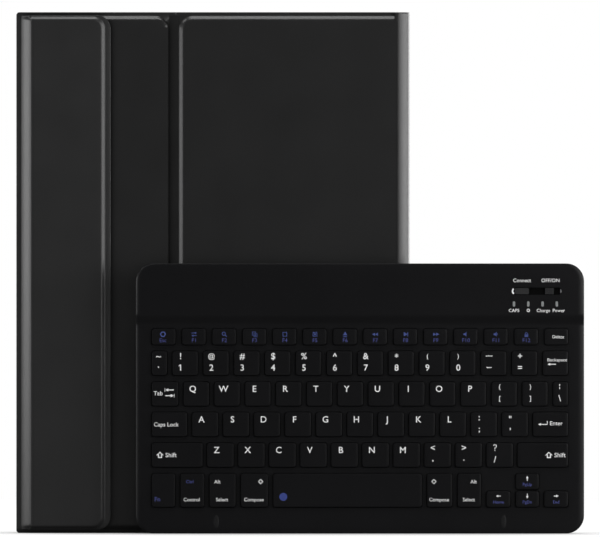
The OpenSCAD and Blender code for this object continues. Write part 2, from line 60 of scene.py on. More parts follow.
def set_inputs(node, values):
    for socket, value in values.items():
        node.inputs[socket].default_value = value


class Graph:
    """Adds nodes to one node tree and links them."""

    def __init__(self, tree):
        self.tree = tree
        self.tree.nodes.clear()

    def add(self, kind, inputs={}, **settings):
        node = self.tree.nodes.new(kind)
        for key, value in settings.items():
            setattr(node, key, value)
        set_inputs(node, inputs)
        return node

    def link(self, a, out, b, into):
        self.tree.links.new(a.outputs[out], b.inputs[into])

    def math(self, operation, *sources):
        """A Math node whose inputs are numbers or (node, output) pairs."""
        node = self.add("ShaderNodeMath", operation=operation)
        for k, source in enumerate(sources):
            if isinstance(source, float):
                node.inputs[k].default_value = source
            else:
                self.link(*source, node, k)
        return node

    def seen(self, coordinates, front, back, least=0.0):
        """1 for the camera, and for mirrors and glass rising from least to 1 between the two
        places along Y, so that only what lies behind the object is seen white in them."""
        rays = self.add("ShaderNodeLightPath")
        place = self.add("ShaderNodeTexCoord")
        axes = self.add("ShaderNodeSeparateXYZ")
        self.link(place, coordinates, axes, 0)
        span = {"From Min": front, "From Max": back, "To Min": least}
        behind = self.add("ShaderNodeMapRange", span, interpolation_type="SMOOTHSTEP")
        self.link(axes, "Y", behind, "Value")
        mirror = self.math("MAXIMUM", (rays, "Is Glossy Ray"), (rays, "Is Transmission Ray"))
        mirrored = self.math("MULTIPLY", (mirror, 0), (behind, "Result"))
        return self.math("MAXIMUM", (rays, "Is Camera Ray"), (mirrored, 0))

    def painted_corner_shade(self, reach, power, samples=16):
        """A number that falls from 1 towards 0 in the corners between close surfaces, used to paint
        shade into a colour or a glow.
        """
        near = self.add("ShaderNodeAmbientOcclusion", {"Distance": reach}, samples=samples)
        return self.math("POWER", (near, "AO"), power)


class Material(Graph):
    """The nodes of one material, with its shader and output in place."""

    def __init__(self, name):
        self.material = bpy.data.materials.new(name)
        self.material.use_nodes = True
        super().__init__(self.material.node_tree)
        self.out = self.add("ShaderNodeOutputMaterial")
        self.shader = self.add("ShaderNodeBsdfPrincipled")
        self.link(self.shader, "BSDF", self.out, "Surface")
        self.place = self.add("ShaderNodeTexCoord")

    def noise(self, size, detail, stretch=None):
        """Noise whose blobs are about size metres across."""
        node = self.add("ShaderNodeTexNoise", {"Scale": 1.0 / size, "Detail": detail})
        source, socket = self.place, "Object"
        if stretch:
            mapping = self.add("ShaderNodeMapping", {"Scale": stretch})
            self.link(self.place, "Object", mapping, "Vector")
            source, socket = mapping, "Vector"
        self.link(source, socket, node, "Vector")
        return node

    def cells(self, size):
        """Rounded cells about size metres across."""
        node = self.add("ShaderNodeTexVoronoi", {"Scale": 1.0 / size})
        self.link(self.place, "Object", node, "Vector")
        return node

    def ramp(self, source, first, last, stops=(0.3, 0.7)):
        """Runs from one colour to another between two levels of the source."""
        node = self.add("ShaderNodeValToRGB")
        for element, stop, colour in zip(node.color_ramp.elements, stops, (first, last)):
            element.position, element.color = stop, (*colour, 1)
        self.link(source, "Fac", node, "Fac")
        return node

    def tints(self, source, colour, low, high, stops=(0.3, 0.7)):
        return self.ramp(source, tint(colour, low), tint(colour, high), stops)

    def greys(self, source, low, high, stops=(0.3, 0.7)):
        return self.ramp(source, grey(low), grey(high), stops)

    def bump(self, source, socket, height, before=None):
        node = self.add("ShaderNodeBump", {"Strength": 1.0, "Distance": height})
        self.link(source, socket, node, "Height")
        if before:
            self.link(before, "Normal", node, "Normal")
        return node

    def finish(self, colour, rough, bump, **constants):
        """Joins the finished colour, roughness and bump to the shader, and gives the material."""
        set_inputs(self.shader, {k.replace("_", " "): v for k, v in constants.items()})
        self.link(colour, "Color", self.shader, "Base Color")
        if rough:
            self.link(rough, "Color", self.shader, "Roughness")
        if bump:
            self.link(bump, "Normal", self.shader, "Normal")
        return self.material


def grey(value):
    return (value, value, value)


def tint(colour, factor):
    return tuple(c * factor for c in colour)


LEATHER_GRAIN, LEATHER_DEPTH = 0.35 * MM, 0.007 * MM
PAINTED_SHADE_REACH, PAINTED_SHADE_POWER = 4 * MM, 4.0   # how far and how strongly painted shade darkens the leather in its corners


def leather(name, colour, rough=0.3, specular=0.45):
    """Satin artificial leather: fine pebbled grain, a little cloudiness and uneven gloss, with
    painted shade darkening its colour in corners and creases.
    """
    n = Material(name)
    pebbles = n.cells(LEATHER_GRAIN)
    clouds = n.noise(22 * MM, 4.0)
    creases = n.noise(1.6 * MM, 5.0)
    cloudy = n.tints(clouds, colour, 0.94, 1.06)
    col = n.add("ShaderNodeHueSaturation")
    n.link(cloudy, "Color", col, "Color")
    # painted shade: the colour darkens wherever other surfaces come close
    n.link(n.painted_corner_shade(PAINTED_SHADE_REACH, PAINTED_SHADE_POWER, samples=8), 0, col, "Value")
    gloss = n.greys(clouds, rough - 0.01, rough + 0.01)
    pebbled = n.bump(pebbles, "Distance", LEATHER_DEPTH)
    bump = n.bump(creases, "Fac", LEATHER_DEPTH * 1.5, pebbled)
    return n.finish(col, gloss, bump, Specular_IOR_Level=specular)


def plastic(name, colour, rough, grain=0.18 * MM, depth=0.004 * MM, specular=0.35):
    """Moulded plastic with a spark-eroded texture."""
    n = Material(name)
    fine = n.noise(grain, 2.0)
    broad = n.noise(30 * MM, 3.0)
    col = n.tints(broad, colour, 0.9, 1.1)
    gloss = n.greys(fine, rough - 0.04, rough + 0.06)
    return n.finish(col, gloss, n.bump(fine, "Fac", depth), Specular_IOR_Level=specular)


def microfibre(name, colour):
    """Brushed lining cloth: short nap in drifting directions."""
    n = Material(name)
    nap = n.noise(0.25 * MM, 4.0, (1.0, 1.0, 0.35))
    drift = n.noise(12 * MM, 3.0)
    col = n.tints(drift, colour, 0.8, 1.25)
    rough = n.greys(nap, 0.85, 0.98, (0.2, 0.8))
    return n.finish(
        col, rough, n.bump(nap, "Fac", 0.05 * MM), Sheen_Weight=0.35, Sheen_Roughness=0.5,
        Specular_IOR_Level=0.2,
    )


def metal(name, colour, rough):
    """Brushed metal: fine scratches along X and Y."""
    n = Material(name)
    lines = n.noise(0.4 * MM, 4.0, (1.0, 1.0, 12.0))
    col = n.tints(lines, colour, 0.85, 1.05)
    gloss = n.greys(lines, rough - 0.06, rough + 0.08)
    return n.finish(col, gloss, n.bump(lines, "Fac", 0.004 * MM), Metallic=1.0)


def card(name, colour):
    """Pressed grey card with fibres."""
    n = Material(name)
    fibres = n.noise(0.8 * MM, 5.0, (1.0, 1.0, 0.25))
    col = n.tints(fibres, colour, 0.75, 1.15)
    return n.finish(col, None, n.bump(fibres, "Fac", 0.04 * MM), Roughness=0.9)


def ink(name, colour):
    """Printed legend: thin pad-printed ink with slightly uneven cover."""
    n = Material(name)
    cover = n.noise(0.3 * MM, 2.0)
    col = n.tints(cover, colour, 0.9, 1.0, (0.25, 0.6))
    gloss = n.greys(cover, 0.5, 0.62)
    return n.finish(col, gloss, None, Specular_IOR_Level=0.3)


def solder_mask(name):
    """A circuit board's green varnish with lighter tracks."""
    n = Material(name)
    tracks = n.add("ShaderNodeTexBrick", {
        "Scale": 260.0, "Color1": (0.02, 0.15, 0.06, 1), "Color2": (0.025, 0.19, 0.08, 1),
        "Mortar": (0.05, 0.28, 0.12, 1),
    })
    n.link(n.place, "Object", tracks, "Vector")
    return n.finish(tracks, None, n.bump(tracks, "Fac", 0.02 * MM), Roughness=0.35)


def foil(name):
    """The battery's crumpled metal foil."""
    n = Material(name)
    wrinkles = n.noise(4 * MM, 4.0)
    col = n.greys(wrinkles, 0.62, 0.75)
    rough = n.greys(wrinkles, 0.28, 0.42)
    return n.finish(col, rough, n.bump(wrinkles, "Fac", 0.15 * MM), Metallic=0.9)


LEATHER_RGB = (0.0128, 0.0128, 0.0129)
# the flap's leather is lighter than the rest: painted light for the stronger light on the case's
# left side
FLAP_LIT_RGB = (0.0196, 0.0196, 0.0197)
MAT = {
    "leather": leather("satin_leather", LEATHER_RGB),
    "flap_leather": leather("flap_leather", FLAP_LIT_RGB),
    # darker leather for the fold's groove: painted shade
    "groove_shade_leather": leather("groove_painted_shade_leather", grey(0.0095), 0.36, specular=0.25),
    "lining": microfibre("microfibre_lining", (0.03, 0.03, 0.032)),
    "card": card("pressed_card", (0.32, 0.29, 0.25)),
    "shell": plastic("shell_plastic", (0.02, 0.02, 0.021), 0.4),
    "keyboard": plastic("keyboard_plastic", (0.0056, 0.0056, 0.0062), 0.33, specular=0.16),
    "key": plastic("key_plastic", (0.0058, 0.0058, 0.0064), 0.32, specular=0.14),
    "switch": plastic("switch_plastic", (0.018, 0.018, 0.019), 0.4),
    # a lighter plastic for two swellings in the keyboard's lower rim: painted highlight
    "streak_highlight_plastic": plastic("painted_highlight_keyboard_plastic", (0.0095, 0.0095, 0.01), 0.4, specular=0.2),
    # near-black plastic for the inside of the switch slot: painted shade
    "recess": plastic("recess_black", grey(0.0012), 0.6, specular=0.05),
    "white_ink": ink("white_ink", grey(0.86)),
    "blue_ink": ink("blue_ink", (0.06, 0.07, 0.24)),
    "icon_ink": ink("icon_ink", (0.055, 0.08, 0.25)),
    "bright_blue_ink": ink("bright_blue_ink", (0.038, 0.058, 0.24)),
    "steel": metal("brushed_steel", (0.55, 0.55, 0.57), 0.3),
    "magnet": metal("plated_magnet", (0.68, 0.68, 0.7), 0.16),
    "rubber": plastic("foot_rubber", grey(0.015), 0.7, 0.3 * MM, 0.01 * MM, 0.25),
    "silicone": plastic("dome_silicone", (0.55, 0.55, 0.52), 0.5, 0.4 * MM, 0.01 * MM),
    "board": solder_mask("solder_mask"),
    "foil": foil("battery_foil"),
    "light": plastic("frosted_light_pipe", (0.24, 0.25, 0.25), 0.3, 0.1 * MM, 0.002 * MM, 0.5),
}
CAD_MATERIALS = {
    "lining": [f"{side}_lining" for side in ("lower_back", "upper_back", "spine", "front")],
    "card": [f"{side}_board" for side in ("lower_back", "upper_back", "flap", "spine", "front")],
    "shell": ["tablet_shell"],
    "steel": ["key_plate", "charging_port", "case_screws"],
    "magnet": ["flap_magnets", "front_magnets", "keyboard_magnets"],
    "silicone": ["dome_sheet"],
    "foil": ["battery"],
    "board": ["circuit_board"],
    "rubber": ["rubber_feet"],
    "keyboard": ["bottom_case", "top_case"],
    "switch": ["switch_knob", "connect_button"],
    "light": ["status_lights"],
    "leather": [
        "lower_back_leather", "upper_back_leather", "flap_gusset", "flap_leather",
        "flap_lining", "spine_leather", "front_leather",
    ],
    "key": [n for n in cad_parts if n.startswith(("key_", "keys_")) and n != "key_plate"],
}
for slot_name, names in CAD_MATERIALS.items():
    for node_name in names:
        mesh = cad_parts[node_name].data
        mesh.materials.clear()
        mesh.materials.append(MAT[slot_name])


# ---------------- mesh tools

def new_piece(name, bm, materials, angle=None):
    """Makes an object of the mesh, smooth except at edges sharper than angle, in degrees."""
    mesh = bpy.data.meshes.new(name)
    bmesh.ops.recalc_face_normals(bm, faces=bm.faces)
    bm.to_mesh(mesh)
    bm.free()
    for material in materials:
        mesh.materials.append(MAT[material])
    if angle:
        mesh.shade_smooth()
        mesh.set_sharp_from_angle(angle=math.radians(angle))
    piece = bpy.data.objects.new(name, mesh)
    bpy.context.scene.collection.objects.link(piece)
    return piece


def rounded_loop(y, rect, radii, steps=10):
    """Points round a rectangle (x0, x1, z0, z1) at y, anticlockwise from the lower left corner.
    radii are for the lower left, lower right, upper right and upper left corners."""
    x0, x1, z0, z1 = rect
    limit = min(x1 - x0, z1 - z0) / 2 - 1e-6
    points = []
    for k, (cx, cz) in enumerate([(x0, z0), (x1, z0), (x1, z1), (x0, z1)]):
        r = max(min(radii[k], limit), 1e-5)
        mx = cx + r if cx == x0 else cx - r
        mz = cz + r if cz == z0 else cz - r
        for s in range(steps + 1):
            a = math.radians(180 + 90 * (k + s / steps))
            points.append((mx + r * math.cos(a), y, mz + r * math.sin(a)))
    return points


def grow(rect, by):
    x0, x1, z0, z1 = rect
    return (x0 - by, x1 + by, z0 - by, z1 + by)


def clamp(rect, outer):
    (a0, a1, c0, c1), (b0, b1, d0, d1) = rect, outer
    return (max(a0, b0), min(a1, b1), max(c0, d0), min(c1, d1))


def stack_of_loops(bm, loops):
    """Bridges loops of points with equal counts and closes both ends; each point is (x, y, z)."""
    rings = [[bm.verts.new(p) for p in loop] for loop in loops]
    for a, b in zip(rings, rings[1:]):
        count = len(a)
        for i in range(count):
            j = (i + 1) % count
            bm.faces.new((a[i], a[j], b[j], b[i]))
    bm.faces.new(rings[0])
    bm.faces.new(rings[-1])


def stacked_piece(name, loops, material, angle=50):
    bm = bmesh.new()
    stack_of_loops(bm, loops)
    return new_piece(name, bm, [material], angle)


def rect_of(node):
    lo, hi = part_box(node)
    return (lo.x, hi.x, lo.z, hi.z)


def padded_cover(name, outer, board, outer_radii, board_radii, depths, steep):
    """A leather skin over a board: turned edge, soft shoulder and a barely crowned middle.
    depths are the y of the inner side, of the margin's outer side and of the raised side.
    steep is how much of the shoulder's width is kept along the right side."""
    y_in, y_margin, y_top = depths
    out = 1 if y_top > y_in else -1
    thick = abs(y_margin - y_in)
    rise = abs(y_top - y_margin)
    loops = []
    for inset, share in [
        (1.2, 0.0), (0.25, 0.0), (0.07, 0.1), (0.0, 0.3), (0.0, 0.75), (0.06, 0.93), (0.2, 1.0)
    ]:
        radii = [max(r - inset * MM, 0.2 * MM) for r in outer_radii]
        y = y_in + out * thick * share
        loops.append(rounded_loop(y, grow(outer, -inset * MM), radii))
    edge = grow(outer, -0.5 * MM)
    for outset, share in [
        (2.7, 0.02), (2.3, 0.1), (1.9, 0.28), (1.5, 0.48), (1.1, 0.67), (0.7, 0.83),
        (0.3, 0.93), (-0.3, 0.985), (-1.2, 1.0), (-9.0, 1.0)
    ]:
        x0, x1, z0, z1 = grow(board, outset * MM)
        if outset > -1:
            x1 = board[1] + (WALL_OUT + (outset - WALL_OUT) * steep) * MM
        rect = clamp((x0, x1, z0, z1), edge)
        radii = [r if r == CREASE else max(r + outset * MM, 1.5 * MM) for r in board_radii]
        loops.append(rounded_loop(y_margin + out * rise * share, rect, radii))
    return stacked_piece(name, loops, "leather")


def smooth_step(t):
    t = max(0.0, min(1.0, t))
    return t * t * (3 - 2 * t)


def strip_along_z(name, outer, thickness, z0, z1, material="leather"):
    """A bent leather strip between two heights. outer is the path (x, y) of its outer face, and
    the inner face lies to the left of that path."""
    normals = []
    for k, (x, y) in enumerate(outer):
        ax, ay = outer[max(k - 1, 0)]
        bx, by = outer[min(k + 1, len(outer) - 1)]
        length = math.hypot(bx - ax, by - ay)
        normals.append((-(by - ay) / length, (bx - ax) / length))

    def section(z, inset):
        face = [(x + n[0] * inset, y + n[1] * inset) for (x, y), n in zip(outer, normals)]
        depth = thickness - inset
        back = [(x + n[0] * depth, y + n[1] * depth) for (x, y), n in zip(outer, normals)]
        return [(x, y, z) for x, y in face + back[::-1]]

    ease = [(0.0, 0.3), (0.1, 0.12), (0.3, 0.0), (0.7, 0.0), (1.5, 0.0)]
    loops = [section(z0 + d * MM, inset * MM) for d, inset in ease]
    rows = 20
    loops += [section(z0 + (z1 - z0) * k / rows, 0) for k in range(1, rows)]
    loops += [section(z1 - d * MM, inset * MM) for d, inset in reversed(ease)]
    return stacked_piece(name, loops, material)


def sheet_over(name, xs, zs, height, thickness, material):
    """A sheet over a grid of x and z whose outer face lies at y = height(x, z)."""
    bm = bmesh.new()
    faces = [
        [[bm.verts.new((x, height(x, z) + drop, z)) for x in xs] for z in zs]
        for drop in (0.0, thickness)
    ]
    for grid in faces:
        for a, b in zip(grid, grid[1:]):
            for i in range(len(xs) - 1):
                bm.faces.new((a[i], a[i + 1], b[i + 1], b[i]))
    outer, inner = faces
    for k in range(len(zs) - 1):
        for i in (0, -1):
            bm.faces.new((outer[k][i], outer[k + 1][i], inner[k + 1][i], inner[k][i]))
    for i in range(len(xs) - 1):
        for k in (0, -1):
            bm.faces.new((outer[k][i], outer[k][i + 1], inner[k][i + 1], inner[k][i]))
    return new_piece(name, bm, [material], angle=60)


def ride(piece, body, slot, *nodes):
    """Puts a piece on its body, in place of the CAD nodes named."""
    if nodes:
        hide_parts(*nodes)
    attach(piece, body)


def bend(piece):
    """Bakes a strip of leather's placement into its mesh."""
    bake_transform(piece)


def apply_modifiers(piece):
    dg = bpy.context.evaluated_depsgraph_get()
    mesh = bpy.data.meshes.new_from_object(piece.evaluated_get(dg))
    mesh.name = piece.name
    piece.modifiers.clear()
    piece.data = mesh


# ---------------- the folio

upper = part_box("upper_back_leather")
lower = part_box("lower_back_leather")
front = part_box("front_leather")
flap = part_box("flap_leather")
flap_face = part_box("flap_lining")
left_x, right_x = upper[0].x, front[1].x
fold_x = lower[0].x
case_h = front[1].z
LEATHER_IN = lower[1].y
MARGIN_OUT = -LEATHER_IN
RAISED_OUT = lower[0].y
FRONT_IN, FRONT_OUT = front[0].y, front[1].y
COVER_CORNER = 1.6 * MM       # corner radius of the covers
BOARD_CORNER = 4.2 * MM       # corner radius of the boards
CREASE = 0.3 * MM             # radius where a panel runs under a neighbouring strip
WALL_OUT = 0.85               # in millimetres, where a steep side stands out from its board
UPPER_STEEP = 0.06            # share of the shoulder's width kept on the upper panel's fold side
SHOULDER_DROP = 0.25 * MM     # how far the shoulders sit in at the upper and lower edges
SPINE_ROUND = 6.6 * MM        # radius of the leather round the spine's two edges
SPINE_LAP = 1.0 * MM          # how far the panels run on under that leather


def padded_panel(name, side, body, xs, ease, outer_radii, board_radii, depths, steep=1.0):
    """One cover's leather over its board. xs are the cover's two sides, and ease is how far the
    raised field reaches past its board's two sides, in millimetres along x."""
    low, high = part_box(f"{side}_board")
    field = (
        low.x + ease[0] * MM, high.x + ease[1] * MM, low.z + SHOULDER_DROP, high.z - SHOULDER_DROP
    )
    panel = padded_cover(name, (*xs, 0, case_h), field, outer_radii, board_radii, depths, steep)
    ride(panel, body, "leather_black", f"{side}_leather")


SPINE_SKIN = 0.7 * MM         # thickness of the leather round the spine
SPINE_STEPS = 16


def spine_leather():
    """The leather round the spine's two edges, and the plain strip between them."""
    z0, z1 = 0.05 * MM, case_h - 0.05 * MM
    start_x, turn = right_x - SPINE_ROUND, SPINE_ROUND
    arc = [(0.9 * MM + SPINE_ROUND, 0.02 * MM)]
    for k in range(SPINE_STEPS + 1):
        a = math.pi / 2 * k / SPINE_STEPS
        arc.append((SPINE_ROUND * (1 - math.sin(a)), SPINE_ROUND * (1 - math.cos(a))))
    rear = [(right_x - a, RAISED_OUT + b) for a, b in arc]
    corner = strip_along_z("spine_corner_back", rear, SPINE_SKIN, z0, z1)
    bend(
        corner
    )
    fore = [(right_x - a, FRONT_OUT - b) for a, b in reversed(arc)]
    corner = strip_along_z("spine_corner_front", fore, SPINE_SKIN, z0, z1)
    bend(corner)
    lap = 0.6 * MM
    y0, y1 = RAISED_OUT + turn - lap, FRONT_OUT - turn + lap
    side = [(right_x - 0.03 * MM, y0 + (y1 - y0) * k / 6) for k in range(7)]
    skin = strip_along_z("spine_skin", side, SPINE_SKIN, z0, z1)
    ride(skin, "spine", "leather_black", "spine_leather")


def fold_leather():
    """The thin leather in the groove between the two back panels, made darker than the rest as
    painted shade for the groove.
    """
    reach_up, reach_down, swell = 3.4, 1.7, 0.1    # in millimetres
    groove = []
    for k in range(17):
        d = -reach_up + (reach_up + reach_down) * k / 16
        rise = 0.04 + swell * math.sin(math.pi * k / 16)
        groove.append((fold_x + d * MM, MARGIN_OUT - rise * MM))
    z0, z1 = 1.0 * MM, case_h - 1.0 * MM
    strip = strip_along_z("fold_leather", groove, 0.3 * MM, z0, z1, "groove_shade_leather")
    bend(
        strip,
    )


# the closing flap, in millimetres: the radius of its outer corners, and rows of its skin's inset at
# the right, its inset at the ends and its rise from the rear face
FLAP_CORNER = 6.4
FLAP_PROFILE = [
    (1.5, 1.2, 0.0), (0.55, 0.5, 0.05), (0.42, 0.35, 0.2), (0.25, 0.2, 0.55), (0.0, 0.0, 0.9),
    (0.03, 0.03, 0.95), (0.12, 0.1, 0.98), (2.2, 0.5, 0.99), (2.7, 0.7, 1.07), (3.1, 0.95, 1.22),
    (3.6, 1.3, 1.46), (4.1, 1.65, 1.7), (4.5, 1.95, 1.83), (5.1, 2.4, 1.89), (6.2, 3.2, 1.9),
    (12.0, 9.0, 1.9),
]


def flap_profile_at_end(z):
    """Share of the flap's full rise at the distance z from its upper or lower end."""
    for (_, a, rise_a), (_, b, rise_b) in zip(FLAP_PROFILE[3:], FLAP_PROFILE[4:]):
        if z / MM <= b:
            t = max(0.0, (z / MM - a) / max(b - a, 1e-6))
            return (rise_a + (rise_b - rise_a) * t) / FLAP_PROFILE[-1][2]
    return 1.0


def closing_flap():
    rear, rise = flap[1].y, flap[1].y - flap_face[0].y
    scale = rise / FLAP_PROFILE[-1][2]
    loops = []
    for right, end, up in FLAP_PROFILE:
        rect = (
            flap[0].x + min(0.3 + 0.2 * right, 1.2) * MM, flap[1].x - right * MM,
            flap[0].z + end * MM, flap[1].z - end * MM,
        )
        r = max(FLAP_CORNER - 0.35 * right, 4.4) * MM
        loops.append(rounded_loop(rear - up * scale, rect, [0.5 * MM, r, r, 0.5 * MM]))
    skin = stacked_piece("flap_skin", loops, "flap_leather")
    ride(skin, "closing_flap", "leather_black", "flap_leather", "flap_lining")


# the soft roll from the cover's free edge up to the flap, as distances in from that edge
GUSSET_START, GUSSET_END = 1.7 * MM, 8.4 * MM
GUSSET_LOW, GUSSET_TOP = -0.33 * MM, -3.84 * MM
GUSSET_STEPS = 16


def gusset_roll():
    xs, ys = [], {}
    for k in range(GUSSET_STEPS + 1):
        t = k / GUSSET_STEPS
        xs.append(left_x + GUSSET_START + (GUSSET_END - GUSSET_START) * t)
        ys[xs[-1]] = GUSSET_LOW + (GUSSET_TOP - GUSSET_LOW) * (1 - math.cos(math.pi * t)) / 2
    z0, z1 = flap[0].z + 0.1 * MM, flap[1].z - 0.1 * MM
    ends = [0, 0.15, 0.4, 0.7, 1.0, 1.3, 1.6, 1.9, 2.2, 2.6, 3.2, 4.5]
    zs = [z0 + d * MM for d in ends]
    zs += [z0 + (z1 - z0) * k / 20 for k in range(1, 20)]
    zs += [z1 - d * MM for d in reversed(ends)]

    def height(x, z):
        full = ys[x]
        t = (full - ys[xs[0]]) / (ys[xs[-1]] - ys[xs[0]])
        base = ys[xs[0]] - 1.4 * MM * t
        return base + (full - base) * flap_profile_at_end(min(z - z0, z1 - z))

    roll = sheet_over("gusset_leather", xs, zs, height, 0.5 * MM, "flap_leather")
    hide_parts("flap_gusset")
    bend(roll)


def lining_sheet(name, node, body, trim):
    """The lining's cloth, cut back by trim on each side of its box so that it stays under the
    rounded leather: (x0, x1, y0, y1) in millimetres, added to the box's sides."""
    low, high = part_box(node)
    x0, x1 = low.x + trim[0] * MM, high.x + trim[1] * MM
    y0, y1 = low.y + trim[2] * MM, high.y + trim[3] * MM
    loops = []
    edge = 0.08 * MM
    for inset, y in [
        (0.5, y0), (0.06, y0), (0.0, y0 + edge), (0.0, y1 - edge), (0.06, y1), (0.5, y1)
    ]:
        rect = grow((x0, x1, low.z + 0.3 * MM, high.z - 0.3 * MM), -inset * MM)
        loops.append(rounded_loop(y, rect, [max(1.2 - inset, 0.6) * MM] * 4))
    cloth = stacked_piece(name, loops, "lining", angle=40)
    ride(cloth, body, "lining", node)


panel_end = right_x - SPINE_ROUND + SPINE_LAP
FREE_EDGE = [COVER_CORNER, CREASE, CREASE, COVER_CORNER]
BOARD_FREE_EDGE = [BOARD_CORNER, CREASE, CREASE, BOARD_CORNER]
BACK_DEPTHS = (LEATHER_IN, MARGIN_OUT, RAISED_OUT)
padded_panel(
    "back_lower_skin", "lower_back", "back_cover_lower", (fold_x, panel_end), (-0.9, 1.6),
    [CREASE] * 4, BOARD_FREE_EDGE, BACK_DEPTHS,
)
padded_panel(
    "back_upper_skin", "upper_back", "back_cover_upper", (left_x, fold_x), (0, 0),
    FREE_EDGE, [BOARD_CORNER] * 4, BACK_DEPTHS, UPPER_STEEP,
)
padded_panel(
    "front_skin", "front", "front_cover", (left_x, panel_end), (0, 1.6),
    FREE_EDGE, BOARD_FREE_EDGE, (FRONT_IN, FRONT_IN + 2 * LEATHER_IN, FRONT_OUT),
)
spine_leather()
fold_leather()
closing_flap()
gusset_roll()
lining_sheet("back_lower_lining", "lower_back_lining", "back_cover_lower", (0, -2.6, 0, 0))
lining_sheet("front_cover_lining", "front_lining", "front_cover", (0, -2.6, 0, 0))
lining_sheet("spine_inner_lining", "spine_lining", "spine", (0, -0.4, 1.0, -1.0))


# ---------------- the keyboard

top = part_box("top_case")
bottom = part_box("bottom_case")
kb = rect_of("top_case")
kb_back = bottom[1].y


def islands(node):
    """Boxes (x0, x1, z0, z1, y_front, y_back) of a node's separate solids, from left to right."""
    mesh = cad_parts[node].data
    parent = list(range(len(mesh.vertices)))

    def find(i):
        while parent[i] != i:
            parent[i] = parent[parent[i]]
            i = parent[i]
        return i

    seen = {}
    for v in mesh.vertices:
        key = tuple(round(c / MM, 3) for c in v.co)
        if key in seen:
            parent[find(v.index)] = find(seen[key])
        seen[key] = v.index
    for edge in mesh.edges:
        a, b = (find(i) for i in edge.vertices)
        parent[a] = b
    groups = {}
    for v in mesh.vertices:
        groups.setdefault(find(v.index), []).append(v.co)
    boxes = []
    for points in groups.values():
        xs, ys, zs = zip(*points)
        boxes.append((min(xs), max(xs), min(zs), max(zs), min(ys), max(ys)))
    return sorted(boxes)


KEYS = {node: islands(node) for node in CAD_MATERIALS["key"]}
cap_front = min(k[4] for k in KEYS["key_space"])
deck_depth = 4.2 * MM
bar_depth = kb_back - top[0].y
field_top = max(k[3] for k in KEYS["key_escape"])
slope_z = field_top + 2.4 * MM
bar_z = slope_z + 2.8 * MM
# where the slope up to the bar starts to ease out, below its foot and above its head
slope_foot, slope_head = slope_z - 1.0 * MM, bar_z + 2.2 * MM
SLOPE_ROWS = 14
KB_CORNER = 8.8 * MM                      # corner radius of the keyboard
PARTING = 1.0 * MM                        # depth of the bottom case behind the top case
RIM_DROP = 0.9 * MM                       # how deep the rim of the face is rounded
SIDE_EASE, END_EASE = 3.6 * MM, 0.4 * MM  # how wide that is at the sides and at the ends
KEY_GAP, PART_GAP, LENS_GAP = 0.3 * MM, 0.2 * MM, 0.06 * MM


def front_depth(z):
    """Depth of the keyboard's face at the height z, with a soft slope up to the bar."""
    share = smooth_step((z - slope_foot) / (slope_head - slope_foot))
    return deck_depth + (bar_depth - deck_depth) * share


def keyboard_body():
    """A closed solid with the keyboard's outline, its rounded rim and its stepped face."""
    flat = -1.0        # the face is drawn flat at this y, far in front, and then put in place
    x0, x1, z0, z1 = kb
    loops = [rounded_loop(kb_back - PARTING, kb, [KB_CORNER] * 4, 12)]
    for s in range(7):
        a = math.radians(90 * s / 6)
        step_x, step_z = SIDE_EASE * (1 - math.cos(a)), END_EASE * (1 - math.cos(a))
        drop = RIM_DROP * (1 - math.sin(a))
        r = KB_CORNER - (step_x + step_z) / 2
        rect = (x0 + step_x, x1 - step_x, z0 + step_z, z1 - step_z)
        loops.append(rounded_loop(flat + drop, rect, [r] * 4, 12))
    bm = bmesh.new()
    stack_of_loops(bm, loops)
    for k in range(SLOPE_ROWS + 1):
        z = slope_foot + (slope_head - slope_foot) * k / SLOPE_ROWS
        everything = bm.verts[:] + bm.edges[:] + bm.faces[:]
        bmesh.ops.bisect_plane(bm, geom=everything, plane_co=(0, 0, z), plane_no=(0, 0, 1))
    for v in bm.verts:
        if v.co.y < flat / 2:
            v.co.y = kb_back - front_depth(v.co.z) + (v.co.y - flat)
    return bm


def slab_on(bm, rect, radius, y_a, y_b, steps):
    """Adds a plate with rounded corners between the depths y_a and y_b."""
    loops = [rounded_loop(y, rect, [radius] * 4, steps) for y in (y_a, y_b)]
    stack_of_loops(bm, loops)


button = rect_of("connect_button")
knob = rect_of("switch_knob")
slot = (button[0] + 0.2 * MM, knob[1] + 3.1 * MM, button[2] + 0.2 * MM, button[3] - 0.2 * MM)
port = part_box("charging_port")
bar_front = kb_back - bar_depth


def keyboard_top():
    """The top case, with openings for the keys, the switches, the socket and the lights."""
    body = new_piece("keyboard_top", keyboard_body(), ["keyboard", "recess"])
    cuts = bmesh.new()
    cut_front = kb_back - 9 * MM
    for boxes in KEYS.values():
        for box in boxes:
            well = grow(box[:4], KEY_GAP)
            slab_on(cuts, well, 1.4 * MM, kb_back - 2.0 * MM, kb_back - 8 * MM, 3)
    slab_on(cuts, slot, 0.5 * MM, bar_front + 0.9 * MM, cut_front, 5)
    mouth = (port[0].x - PART_GAP, port[1].x + PART_GAP, port[0].z, kb[3] + 2 * MM)
    slab_on(cuts, mouth, 0.1 * MM, port[0].y - PART_GAP, port[1].y + PART_GAP, 2)
    for lens in islands("status_lights"):
        slab_on(cuts, grow(lens[:4], LENS_GAP), 0.6 * MM, bar_front + 0.6 * MM, cut_front, 4)
    cutter = new_piece("keyboard_cutter", cuts, ["keyboard"])
    cut = body.modifiers.new("openings", "BOOLEAN")
    cut.object = cutter
    cut.solver = "EXACT"
    apply_modifiers(body)
    bpy.data.objects.remove(cutter)
    body.data.shade_smooth()
    body.data.set_sharp_from_angle(angle=math.radians(40))
    # the slot's walls and floor get the near-black plastic as painted shade
    for face in body.data.polygons:
        x, y, z = face.center
        if slot[0] < x < slot[1] and slot[2] < z < slot[3] and y > bar_front + 0.2 * MM:
            face.material_index = 1
    return body


ride(keyboard_top(), "keyboard", "keyboard_plastic", "top_case")


